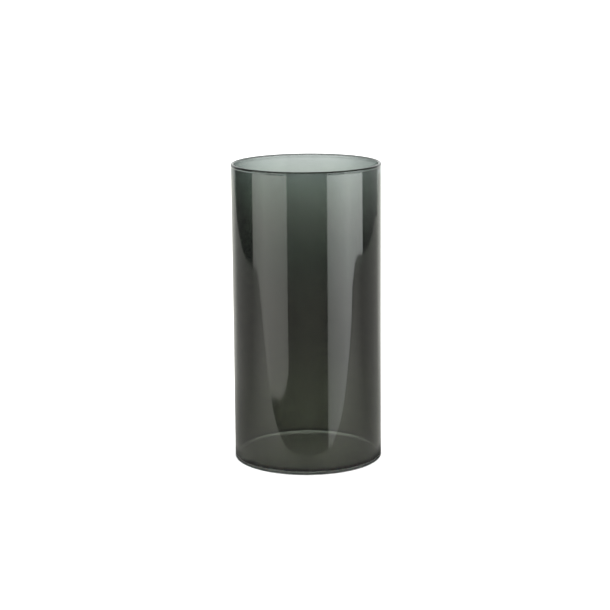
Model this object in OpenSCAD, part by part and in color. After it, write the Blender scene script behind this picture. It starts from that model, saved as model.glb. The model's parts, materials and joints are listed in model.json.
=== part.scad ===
// Straight glass cylinder vase: a drawn tube with a fire-polished rim, standing on a flat
// glass disc and sealed to it by a bead run round the inside corner.
// Origin at the centre of the foot, +Z up along the vase's axis, millimetres.

/* [Vessel] */
// Outside diameter of the tube's wall and of the base disc
vessel_d = 150; // [90:1:220]
// Height from the foot to the top of the rim
vessel_h = 302; // [120:1:450]
// Thickness of the tube's wall
wall_t = 3; // [2:0.1:5]

/* [Rim] */
// How far the fire-polished lip stands proud of the wall's outside
lip_out = 0.4; // [0.1:0.05:0.8]

/* [Base] */
// Thickness of the base disc
base_t = 2; // [2:0.1:6]
// Radius of the disc's rounded bottom edge
heel_r = 0.8; // [0.3:0.1:1]

/* [Seam] */
// Height of the sealing bead, and how far it reaches in from the wall
seam_leg = 2; // [1:0.1:4]
// Width of the bevel ground on the inside of the tube's foot, which the bead fills
bevel_w = 0.8; // [0.3:0.1:1.2]
// Thickness of the bead's edge on the disc
seam_edge_t = 0.2; // [0.1:0.05:0.4]

/* [Hidden] */
$fn = 180;

vessel_r = vessel_d / 2;
bore_r = vessel_r - wall_t;
lip_r = (wall_t + lip_out) / 2;
lip_z = vessel_h - lip_r;
seam_top_z = base_t + seam_leg;

smoked_glass = [0.27, 0.31, 0.29];
clear_glass = [0.80, 0.85, 0.82];

// Straight wall from the disc's top face up to the round lip. The lip is flush with the
// bore, so that nothing narrows the mouth, and the foot is bevelled on its inside.
module tube_wall() {
    color(smoked_glass)
    rotate_extrude()
        union() {
            polygon([
                [bore_r + bevel_w, base_t],
                [vessel_r, base_t],
                [vessel_r, lip_z],
                [bore_r, lip_z],
                [bore_r, seam_top_z]
            ]);
            translate([bore_r + lip_r, lip_z])
                circle(r = lip_r);
        }
}

// Flat disc as wide as the tube, with its bottom edge rounded off.
module base_disc() {
    color(clear_glass)
    rotate_extrude()
        union() {
            square([vessel_r - heel_r, base_t]);
            translate([0, heel_r])
                square([vessel_r, base_t - heel_r]);
            translate([vessel_r - heel_r, heel_r])
                circle(r = heel_r);
        }
}

// Ring that fills the bevel and rests on the disc, with a hollow face towards the inside.
module seam_bead() {
    color(clear_glass)
    rotate_extrude()
        difference() {
            polygon([
                [bore_r - seam_leg, base_t],
                [bore_r + bevel_w, base_t],
                [bore_r, seam_top_z],
                [bore_r - seam_leg, seam_top_z]
            ]);
            translate([bore_r - seam_leg, seam_top_z])
                circle(r = seam_leg - seam_edge_t);
        }
}

tube_wall();
base_disc();
seam_bead();
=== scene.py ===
"""A smoked glass cylinder vase on a pale table, in a light studio.

Three pieces of glass stand for the three CAD nodes: the tube with its fire-polished lip, the
flat disc that closes the foot, and the bead that seals one to the other. All are turned about
the Z axis from an outline, in metres, in the frame's own coordinates.
"""
import json
import math

import bmesh
import bpy
from mathutils import Matrix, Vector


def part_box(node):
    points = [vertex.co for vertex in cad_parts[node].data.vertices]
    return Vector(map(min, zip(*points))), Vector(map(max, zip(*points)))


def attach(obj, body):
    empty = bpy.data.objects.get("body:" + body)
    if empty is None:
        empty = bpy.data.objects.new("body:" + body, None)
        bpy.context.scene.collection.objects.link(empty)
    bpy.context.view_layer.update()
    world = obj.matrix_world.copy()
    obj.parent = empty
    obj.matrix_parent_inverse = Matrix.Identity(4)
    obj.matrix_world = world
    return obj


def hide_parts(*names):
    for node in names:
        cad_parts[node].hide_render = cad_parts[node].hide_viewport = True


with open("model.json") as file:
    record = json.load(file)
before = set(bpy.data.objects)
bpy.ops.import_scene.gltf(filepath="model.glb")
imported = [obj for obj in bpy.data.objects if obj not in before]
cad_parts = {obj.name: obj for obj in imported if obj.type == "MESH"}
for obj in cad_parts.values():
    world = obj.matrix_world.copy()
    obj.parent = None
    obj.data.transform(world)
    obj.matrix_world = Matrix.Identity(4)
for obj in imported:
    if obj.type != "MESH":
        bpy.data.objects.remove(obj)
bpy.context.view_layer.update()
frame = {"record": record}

# ---------------------------------------------------------------- sizes, from the frame
MM = 0.001
SEGMENTS = 384  # round each piece
mouth = next(m for m in frame["record"]["mounts"] if m["name"] == "mouth")
tube_low, tube_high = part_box("tube_wall")
disc_low, disc_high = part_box("base_disc")
seam_low, seam_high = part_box("seam_bead")

BORE_R = mouth["dims"]["r_mm"] * MM
LIP_Z = mouth["pos_m"][2]
TOP_Z = tube_high.z
OUTER_R = disc_high.x
LIP_OUT_R = min(-tube_low.x, -tube_low.y, tube_high.x, tube_high.y)  # inside the box on every side
BASE_Z = tube_low.z
SEAM_Z = seam_high.z
SEAM_LEG = seam_high.z - seam_low.z
BEVEL_W = seam_high.x - BORE_R
HEEL_R = 0.8 * MM  # of the disc's rounded bottom edge
SEAM_EDGE = 0.2 * MM  # thickness of the bead's edge on the disc
LIP_SWELL = 1.8 * MM  # height over which the wall swells into the lip
LAP = 0.02 * MM  # how far two pieces of glass that are fused run into each other
STRAIGHT = 1 * MM  # length of plain wall next to a change of shape, which keeps its shading flat
TINT_FROM = 3.5 * MM  # the tube's outside is clear and ground below this height

SWELL_STEPS = 8
ARC_STEPS = 10  # in each quarter of the lip and of the disc's bottom edge
HOLLOW_STEPS = 12  # in the bead's hollow face
CREASE = math.radians(12)  # an edge bent by more than this stays sharp
ON_AXIS = 1e-9  # a ring smaller than this is a single point

# ---------------------------------------------------------------- outlines and turning


def arc(centre, radius, start, end, steps):
    """Points (r, z) along an arc, with its angles in degrees."""
    points = []
    for i in range(steps + 1):
        angle = math.radians(start + (end - start) * i / steps)
        points.append((centre[0] + radius * math.cos(angle), centre[1] + radius * math.sin(angle)))
    return points


def ring_points(bm, radius, height):
    """One ring of vertices, or a single one on the axis."""
    if radius < ON_AXIS:
        return [bm.verts.new((0, 0, height))] * SEGMENTS
    return [
        bm.verts.new((radius * math.cos(a), radius * math.sin(a), height))
        for a in (2 * math.pi * i / SEGMENTS for i in range(SEGMENTS))
    ]


def turned(name, outline, closed, material):
    """A solid turned about Z. A closed outline is a ring; an open one starts and ends on the axis."""
    bm = bmesh.new()
    rings = [ring_points(bm, r, z) for r, z in outline]
    following = rings[1:] + rings[:1] if closed else rings[1:]
    for ring, other in zip(rings, following):
        for i in range(SEGMENTS):
            j = (i + 1) % SEGMENTS
            corners = [ring[i], ring[j], other[j], other[i]]
            distinct = list(dict.fromkeys(corners))
            if len(distinct) > 2:
                bm.faces.new(distinct)
    bmesh.ops.recalc_face_normals(bm, faces=bm.faces)
    mesh = bpy.data.meshes.new(name)
    bm.to_mesh(mesh)
    bm.free()
    mesh.materials.append(material)
    mesh.shade_smooth()
    mesh.set_sharp_from_angle(angle=CREASE)
    piece = bpy.data.objects.new(name, mesh)
    bpy.context.scene.collection.objects.link(piece)
    return piece


# ---------------------------------------------------------------- materials

IOR = 1.5
NOISE_MIDDLE = (0.3, 0.7)  # most of a noise lies between these values
EDGE_ON_DEPTH = 2.1  # how many times as deep the tint is where the wall is seen edge on


def ramp(nodes, stops):
    """A colour ramp through (position, (r, g, b)) stops."""
    node = nodes.new("ShaderNodeValToRGB")
    elements = node.color_ramp.elements
    while len(elements) > 1:
        elements.remove(elements[-1])
    elements[0].position = stops[0][0]
    elements[0].color = (*stops[0][1], 1)
    for position, colour in stops[1:]:
        elements.new(position).color = (*colour, 1)
    return node


def glass_shader(name):
    """A new material with a glass shader: (material, nodes, links, shader)."""
    material = bpy.data.materials.new(name)
    material.use_nodes = True
    nodes, links = material.node_tree.nodes, material.node_tree.links
    shader = nodes["Principled BSDF"]
    shader.inputs["Transmission Weight"].default_value = 1
    shader.inputs["IOR"].default_value = IOR
    return material, nodes, links, shader


def streaks(nodes, links, around, tall):
    """Soft noise from 0 to 1, with features about as large as these two lengths."""
    place = nodes.new("ShaderNodeTexCoord")
    scale = nodes.new("ShaderNodeMapping")
    scale.inputs["Scale"].default_value = (1 / around, 1 / around, 1 / tall)
    noise = nodes.new("ShaderNodeTexNoise")
    noise.inputs["Scale"].default_value = 1
    noise.inputs["Detail"].default_value = 2
    links.new(place.outputs["Object"], scale.inputs["Vector"])
    links.new(scale.outputs[0], noise.inputs["Vector"])
    return noise.outputs["Fac"]


def remap(nodes, links, value, low, high):
    """The middle of a noise, spread from low to high."""
    node = nodes.new("ShaderNodeMapRange")
    node.inputs["From Min"].default_value = NOISE_MIDDLE[0]
    node.inputs["From Max"].default_value = NOISE_MIDDLE[1]
    node.inputs["To Min"].default_value = low
    node.inputs["To Max"].default_value = high
    links.new(value, node.inputs["Value"])
    return node.outputs[0]


def waviness(nodes, links, shader, height, depth):
    """Bends the surface by a height from 0 to 1, that many metres deep."""
    bump = nodes.new("ShaderNodeBump")
    bump.inputs["Distance"].default_value = depth
    links.new(height, bump.inputs["Height"])
    links.new(bump.outputs[0], shader.inputs["Normal"])


def path_through_wall(nodes, links):
    """How deep the tint is: 1 seen square on, and more at a slant, where a ray crosses more glass."""
    slant = nodes.new("ShaderNodeLayerWeight")
    slant.inputs["Blend"].default_value = 0.5
    longer = nodes.new("ShaderNodeMapRange")
    longer.inputs["To Min"].default_value = 1
    longer.inputs["To Max"].default_value = EDGE_ON_DEPTH
    links.new(slant.outputs["Facing"], longer.inputs["Value"])
    return longer.outputs[0]


# What one wall lets through, by height: (height in mm, colour). It pales towards the mouth. The
# near-black band just above the foot and the thin dark bands under the lip and over its top are
# painted shade, not tint: the dark lines of the foot's contact and the lip's curve.
SMOKE_AND_SHADE = [
    # painted shade: a near-black band for the dark line where the foot meets the table
    (3.5, (0.010, 0.010, 0.010)),
    (5.5, (0.010, 0.010, 0.010)),
    (6.3, (0.170, 0.178, 0.150)),
    (65, (0.154, 0.164, 0.136)),
    (120, (0.123, 0.125, 0.112)),
    (170, (0.123, 0.127, 0.113)),
    (206, (0.125, 0.139, 0.124)),
    (232, (0.152, 0.171, 0.150)),
    (248, (0.190, 0.204, 0.187)),
    (265, (0.209, 0.237, 0.212)),
    (283, (0.256, 0.288, 0.265)),
    (297.8, (0.294, 0.324, 0.312)),
    # painted shade: a darker band for the dark line under the lip's curve
    (298.2, (0.235, 0.260, 0.250)),
    (298.7, (0.235, 0.260, 0.250)),
    (299.1, (0.296, 0.326, 0.314)),
    (299.6, (0.296, 0.326, 0.314)),
    # painted shade: darker over the top of the lip, for the dark lines of the lip's curve
    (300.4, (0.150, 0.160, 0.155)),
    (302, (0.150, 0.160, 0.155)),
]


def smoked_glass():
    """Dark neutral glass that pales towards the mouth, with painted shade in thin bands at the foot
    and the lip.
    """
    material, nodes, links, shader = glass_shader("smoked_glass")
    place = nodes.new("ShaderNodeTexCoord")
    split = nodes.new("ShaderNodeSeparateXYZ")
    height = nodes.new("ShaderNodeMapRange")
    height.inputs["From Max"].default_value = TOP_Z
    tint = ramp(nodes, [(mm * MM / TOP_Z, colour) for mm, colour in SMOKE_AND_SHADE])
    links.new(place.outputs["Object"], split.inputs[0])
    links.new(split.outputs["Z"], height.inputs["Value"])
    links.new(height.outputs[0], tint.inputs[0])

    uneven = nodes.new("ShaderNodeVectorMath")
    uneven.operation = "SCALE"
    cloud = streaks(nodes, links, 30 * MM, 90 * MM)
    links.new(tint.outputs[0], uneven.inputs[0])
    links.new(remap(nodes, links, cloud, 0.96, 1.04), uneven.inputs["Scale"])
    deeper = nodes.new("ShaderNodeGamma")
    links.new(uneven.outputs[0], deeper.inputs["Color"])
    links.new(path_through_wall(nodes, links), deeper.inputs["Gamma"])
    links.new(deeper.outputs[0], shader.inputs["Base Color"])

    haze = streaks(nodes, links, 12 * MM, 40 * MM)
    links.new(remap(nodes, links, haze, 0.02, 0.07), shader.inputs["Roughness"])
    waviness(nodes, links, shader, streaks(nodes, links, 25 * MM, 120 * MM), 0.05 * MM)
    return material


def clear_glass(name, colour):
    """Clear glass with a faint green of its own and a ripple from the fire."""
    material, nodes, links, shader = glass_shader(name)
    cloud = streaks(nodes, links, 20 * MM, 20 * MM)
    paler = tuple(min(1.0, c * 1.04) for c in colour)
    tint = ramp(nodes, list(zip(NOISE_MIDDLE, (colour, paler))))
    links.new(cloud, tint.inputs[0])
    links.new(tint.outputs[0], shader.inputs["Base Color"])
    haze = streaks(nodes, links, 6 * MM, 6 * MM)
    links.new(remap(nodes, links, haze, 0.01, 0.06), shader.inputs["Roughness"])
    waviness(nodes, links, shader, streaks(nodes, links, 14 * MM, 14 * MM), 0.03 * MM)
    return material


def ground_glass(name, tint):
    """An edge that was ground and then fire-polished to a satin. Tint is how much it lets through."""
    material, nodes, links, shader = glass_shader(name)
    grain = streaks(nodes, links, 0.8 * MM, 0.8 * MM)
    links.new(remap(nodes, links, grain, 0.35, 0.55), shader.inputs["Roughness"])
    cloud = streaks(nodes, links, 9 * MM, 9 * MM)
    darker = (tint * 0.94, tint, tint * 0.96)
    paler = (tint, tint * 1.06, tint * 1.02)
    shade = ramp(nodes, list(zip(NOISE_MIDDLE, (darker, paler))))
    links.new(cloud, shade.inputs[0])
    links.new(shade.outputs[0], shader.inputs["Base Color"])
    return material


DISC_COLOUR = (0.96, 0.98, 0.95)
SEAL_COLOUR = (0.97, 0.99, 0.98)
FOOT_TINT = 0.94  # of the ground glass at the tube's foot
RIM_TINT = 0.45  # of the ground glass round the disc's rim
FACES_DOWN = -0.1  # faces of the tube with a normal lower than this lie on the disc and the bead
RIM_SLOPE = 0.8  # faces of the disc steeper than this belong to its rim

# ---------------------------------------------------------------- the three pieces


def tube():
    """Straight wall, round lip, and a foot that is bevelled on its inside."""
    lip_r = TOP_Z - LIP_Z
    lip_centre = (LIP_OUT_R - lip_r, LIP_Z)
    wall_top = LIP_Z - LIP_SWELL
    below_lip = [
        (OUTER_R + (LIP_OUT_R - OUTER_R) * (3 - 2 * t) * t * t, wall_top + LIP_SWELL * t)
        for t in (i / SWELL_STEPS for i in range(SWELL_STEPS))
    ]
    outline = [(BORE_R + BEVEL_W, BASE_Z - LAP), (OUTER_R - LAP, BASE_Z - LAP), (OUTER_R, BASE_Z)]
    outline += [(OUTER_R, TINT_FROM), (OUTER_R, wall_top - STRAIGHT)]
    outline += below_lip
    outline += arc(lip_centre, lip_r, 0, 90, ARC_STEPS)
    outline += arc((BORE_R + lip_r, LIP_Z), lip_r, 90, 180, ARC_STEPS)
    outline += [(BORE_R, wall_top), (BORE_R, SEAM_Z + STRAIGHT), (BORE_R, SEAM_Z)]
    piece = turned("tube_glass", outline, True, smoked_glass())
    piece.data.materials.append(clear_glass("foot_glass", SEAL_COLOUR))
    piece.data.materials.append(ground_glass("foot_ground", FOOT_TINT))
    for face in piece.data.polygons:
        if face.normal.z < FACES_DOWN and face.center.z < SEAM_Z:
            face.material_index = 1
        elif face.center.z < TINT_FROM:
            face.material_index = 2
    return piece


def disc():
    """Flat disc with a rounded bottom edge."""
    outline = [(0, 0)]
    outline += arc((OUTER_R - HEEL_R, HEEL_R), HEEL_R, -90, 0, ARC_STEPS)
    outline += [(OUTER_R, BASE_Z), (0, BASE_Z)]
    piece = turned("base_glass", outline, False, clear_glass("clear_glass", DISC_COLOUR))
    piece.data.materials.append(ground_glass("rim_ground", RIM_TINT))
    for face in piece.data.polygons:
        face.material_index = int(abs(face.normal.z) < RIM_SLOPE)
    return piece


def bead():
    """Ring that fills the bevel, with a hollow face towards the inside."""
    low = BASE_Z - LAP
    centre = (BORE_R - SEAM_LEG, SEAM_Z)
    hollow = SEAM_LEG - SEAM_EDGE
    outline = [(centre[0], low), (BORE_R + BEVEL_W + LAP, low), (BORE_R + LAP, SEAM_Z)]
    outline += arc(centre, hollow, 0, -90, HOLLOW_STEPS)
    return turned("seam_glass", outline, True, clear_glass("clear_seal", SEAL_COLOUR))


for piece, node, slot in (
    (tube(), "tube_wall", "smoked_glass"),
    (disc(), "base_disc", "clear_glass"),
    (bead(), "seam_bead", "clear_seal"),
):
    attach(piece, "root")
    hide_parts(node)

# ---------------------------------------------------------------- the studio

FLOOR_Z = -0.1 * MM
TABLE_Z = -0.2 * MM
FLOOR_REACH = 6.0
BACKGROUND = 1.9  # what the camera sees, direct and through the glass
ROOM = 0.10  # what the glass reflects where there is no card
FLOOR_ALBEDO = 0.85
LIT_THROUGH = 2.2  # how much brighter the light is that reaches the floor through the vase
ONE_WALL = 2.5  # faces of glass that a path may pass: one wall has two, and a third is too many
WARM = (1.0, 1.0, 0.94)
COOL = (0.97, 1.0, 0.98)


def stage_mesh(name, points, faces, material):
    """A piece of the studio, not of the vase."""
    mesh = bpy.data.meshes.new(name)
    mesh.from_pydata(points, [], faces)
    mesh.materials.append(material)
    thing = bpy.data.objects.new(name, mesh)
    bpy.context.scene.collection.objects.link(thing)
    return thing


def flat(name, x0, x1, y0, y1, z, material):
    """One flat rectangle, face up."""
    corners = [(x0, y0, z), (x1, y0, z), (x1, y1, z), (x0, y1, z)]
    return stage_mesh(name, corners, [(0, 1, 2, 3)], material)


def seen_in_reflections(nodes):
    """1 on a path that has been reflected and has crossed one wall at most, otherwise 0."""
    links = nodes.id_data.links
    path = nodes.new("ShaderNodeLightPath")
    one_wall = nodes.new("ShaderNodeMath")
    one_wall.operation = "LESS_THAN"
    one_wall.inputs[1].default_value = ONE_WALL
    both = nodes.new("ShaderNodeMath")
    both.operation = "MULTIPLY"
    both.use_clamp = True
    links.new(path.outputs["Transmission Depth"], one_wall.inputs[0])
    links.new(path.outputs["Glossy Depth"], both.inputs[0])
    links.new(one_wall.outputs[0], both.inputs[1])
    return both.outputs[0]


def studio_material(name, reflected):
    """A material that shows only in reflections, or only outside them: (material, nodes, surface).

    The surface is the input of the shader that shows.
    """
    material = bpy.data.materials.new(name)
    material.use_nodes = True
    material.cycles.emission_sampling = "NONE"
    nodes, links = material.node_tree.nodes, material.node_tree.links
    nodes.clear()
    mix = nodes.new("ShaderNodeMixShader")
    nothing = nodes.new("ShaderNodeBsdfTransparent")
    out = nodes.new("ShaderNodeOutputMaterial")
    links.new(seen_in_reflections(nodes), mix.inputs["Fac"])
    shown, hidden = (mix.inputs[2], mix.inputs[1]) if reflected else (mix.inputs[1], mix.inputs[2])
    links.new(nothing.outputs[0], hidden)
    links.new(mix.outputs[0], out.inputs["Surface"])
    return material, nodes, shown


def floor_paint():
    """White paint, hidden from reflections, where the table's glow takes its place."""
    material, nodes, surface = studio_material("floor", False)
    paint = nodes.new("ShaderNodeBsdfDiffuse")
    paint.inputs["Color"].default_value = (FLOOR_ALBEDO, FLOOR_ALBEDO, FLOOR_ALBEDO, 1)
    material.node_tree.links.new(paint.outputs[0], surface)
    return material


def glow(name, colour):
    """Light whose strength is each point's own "light" value, seen only in reflections."""
    material, nodes, surface = studio_material(name, True)
    strength = nodes.new("ShaderNodeAttribute")
    strength.attribute_name = "light"
    light = nodes.new("ShaderNodeEmission")
    light.inputs["Color"].default_value = (*colour, 1)
    links = material.node_tree.links
    links.new(strength.outputs["Fac"], light.inputs["Strength"])
    links.new(light.outputs[0], surface)
    return material


def light_up(thing, values):
    """Gives a glowing mesh its strengths, and keeps its light off the floor."""
    layer = thing.data.attributes.new("light", "FLOAT", "POINT")
    layer.data.foreach_set("value", values)
    thing.visible_camera = False
    thing.visible_diffuse = False
    thing.visible_shadow = False


def between(x, stops):
    """Straight-line interpolation through (x, value) stops."""
    if x <= stops[0][0]:
        return stops[0][1]
    for (x0, v0), (x1, v1) in zip(stops, stops[1:]):
        if x <= x1:
            return v0 + (v1 - v0) * (x - x0) / (x1 - x0)
    return stops[-1][1]


def card(name, bearings, bottom, top, distance, colour, across, up):
    """A curved light card round the vase, its strength the product of two profiles.

    A bearing of 0 is towards the camera, and bearings grow towards +X, in degrees. The bottom
    edge is a profile of its own: (bearing, height) stops.
    """
    columns, rows = 32, 24
    points, values, faces = [], [], []
    for i in range(columns + 1):
        bearing = bearings[0] + (bearings[1] - bearings[0]) * i / columns
        angle = math.radians(bearing)
        low = between(bearing, bottom)
        for j in range(rows + 1):
            z = low + (top - low) * j / rows
            points.append((distance * math.sin(angle), -distance * math.cos(angle), z))
            values.append(between(bearing, across) * between(z, up))
            if i and j:
                corner = i * (rows + 1) + j
                faces.append((corner - rows - 2, corner - rows - 1, corner, corner - 1))
    light_up(stage_mesh(name, points, faces, glow(name, colour)), values)


flat("floor", -FLOOR_REACH, FLOOR_REACH, -FLOOR_REACH, FLOOR_REACH, FLOOR_Z, floor_paint())

# The table as the vase mirrors it, in metres: its sides, its back edge and its front edge by x
TABLE_X = (-1.27, 1.25)
TABLE_BACK = 2.0
TABLE_FRONT = [
    (-1.27, 1.300), (-1.19, 1.060), (-1.15, -0.060), (-1.12, -0.185), (-0.99, -0.247), (-0.75, -0.270),
    (-0.50, -0.255), (-0.30, -0.218), (-0.13, -0.172), (-0.07, -0.148), (0.0, -0.140), (0.07, -0.148),
    (0.13, -0.172), (0.30, -0.218), (0.46, -0.250), (0.64, -0.267), (0.97, -0.318), (1.11, -0.282),
    (1.19, -0.252), (1.25, -0.114),
]
TABLE_LIGHT = 0.55
NEAR_LIGHT = 0.8  # how much more light the table gives along its front
NEAR_DEPTH = 0.2  # how far in front of the vase's axis it gives all of it
NEAR_ACROSS = [(0, -0.15), (0.15, 1), (0.45, 1), (0.8, 0.5), (1.2, 0.3)]  # share of it, by x

# How the vase shades the table, and where the table is bright behind it
CONTACT = [(0.012, 0.25), (0.018, 1)]  # by distance from the wall
BESIDE = [(-115, 0.4), (-80, 0), (80, 0), (115, 0.1)]  # by bearing, as for a card
CLOSE = [(0.02, 1), (0.3, 0)]  # by distance from the wall
BEHIND = [(132, 0), (142, 0.45), (170, 1.1)]  # by bearing, to either side
FAR = [(0.1, 0), (0.5, 1)]  # by distance from the wall


def table_shade(x, y):
    """Darkest where it meets the vase, dark close beside and behind it, and bright far behind it."""
    bearing = math.degrees(math.atan2(x, -y))
    away = math.hypot(x, y) - OUTER_R
    dark = between(bearing, BESIDE) * between(away, CLOSE)
    bright = between(abs(bearing), BEHIND) * between(away, FAR)
    return (1 - dark + bright) * between(away, CONTACT)


def table_glow():
    """A light in the shape of the table's top, brighter along its front except in the middle.

    It lies just under the floor, which reflections don't see. Its rows crowd towards the front.
    """
    columns, rows = 160, 72
    points, values, faces = [], [], []
    for i in range(columns + 1):
        x = TABLE_X[0] + (TABLE_X[1] - TABLE_X[0]) * i / columns
        front = between(x, TABLE_FRONT)
        for j in range(rows + 1):
            y = front + (TABLE_BACK - front) * (j / rows) ** 3
            near = min(1, max(0, -y / NEAR_DEPTH))
            points.append((x, y, TABLE_Z))
            light = TABLE_LIGHT + NEAR_LIGHT * near * between(abs(x), NEAR_ACROSS)
            values.append(light * table_shade(x, y))
            if i and j:
                corner = i * (rows + 1) + j
                faces.append((corner - rows - 2, corner - 1, corner, corner - rows - 1))
    light_up(stage_mesh("table_glow", points, faces, glow("table_glow", WARM)), values)


table_glow()
card(
    "softbox_left", (-88.5, -29), [(-40, -0.335), (-34, -0.32), (-29, -0.285)], 0.5, 1.6, WARM,
    [(-88.5, 0.7), (-65, 1), (-29, 0.75)],
    [(-0.3, 2.0), (-0.06, 2.4), (0.08, 2.9)],
)
card(
    "softbox_right", (31, 93.5), [(0, -0.48)], 0.5, 1.6, COOL,
    [(31, 0.55), (65, 1), (93.5, 0.75)],
    [(-0.29, 2.9), (-0.18, 3.1), (-0.03, 4.4), (0.08, 5.9)],
)
card("wall_right", (94, 138), [(0, -0.1)], 0.5, 1.6, COOL, [(94, 0.6)], [(-0.1, 0), (0.1, 1)])
card(
    "backdrop", (139, 224), [(0, -0.2)], 1.6, 2.2, COOL,
    [(139, 0.6), (180, 0.6), (219, 0.4), (224, 0.1)],
    [(0, BACKGROUND)],
)


def world_light():
    """White for what is seen, brighter for what lights the floor, dim for reflections."""
    world = bpy.data.worlds.new("studio")
    bpy.context.scene.world = world
    world.use_nodes = True
    world.cycles.sampling_method = "NONE"
    nodes, links = world.node_tree.nodes, world.node_tree.links
    background = nodes["Background"]
    path = nodes.new("ShaderNodeLightPath")
    by_floor = nodes.new("ShaderNodeMix")
    by_floor.inputs["A"].default_value = BACKGROUND
    by_floor.inputs["B"].default_value = BACKGROUND / FLOOR_ALBEDO * LIT_THROUGH
    by_diffuse = nodes.new("ShaderNodeMix")
    by_diffuse.inputs["B"].default_value = BACKGROUND / FLOOR_ALBEDO
    by_reflection = nodes.new("ShaderNodeMix")
    by_reflection.inputs["B"].default_value = ROOM
    links.new(path.outputs["Diffuse Depth"], by_floor.inputs["Factor"])
    links.new(by_floor.outputs["Result"], by_diffuse.inputs["A"])
    links.new(path.outputs["Is Diffuse Ray"], by_diffuse.inputs["Factor"])
    links.new(by_diffuse.outputs["Result"], by_reflection.inputs["A"])
    links.new(seen_in_reflections(nodes), by_reflection.inputs["Factor"])
    links.new(by_reflection.outputs["Result"], background.inputs["Strength"])
    background.inputs["Color"].default_value = (1, 1, 1, 1)


world_light()

CAMERA_AT = (0.0, -1.7257, 0.5237)
CAMERA_TILT = math.radians(12.01)
CAMERA_TURN = math.radians(-0.07)
CAMERA_ROLL = math.radians(-0.49)
CAMERA_LENS = 102.6


def camera():
    """A long lens that looks a little down on the vase."""
    data = bpy.data.cameras.new("camera")
    data.lens = CAMERA_LENS
    data.sensor_width = 36
    cam = bpy.data.objects.new("camera", data)
    bpy.context.scene.collection.objects.link(cam)
    turn = Matrix.Rotation(-CAMERA_TURN, 4, "Z")
    tilt = Matrix.Rotation(math.pi / 2 - CAMERA_TILT, 4, "X")
    roll = Matrix.Rotation(CAMERA_ROLL, 4, "Z")
    cam.matrix_world = Matrix.Translation(CAMERA_AT) @ turn @ tilt @ roll
    bpy.context.scene.camera = cam


camera()
bpy.context.scene.view_settings.view_transform = "Standard"
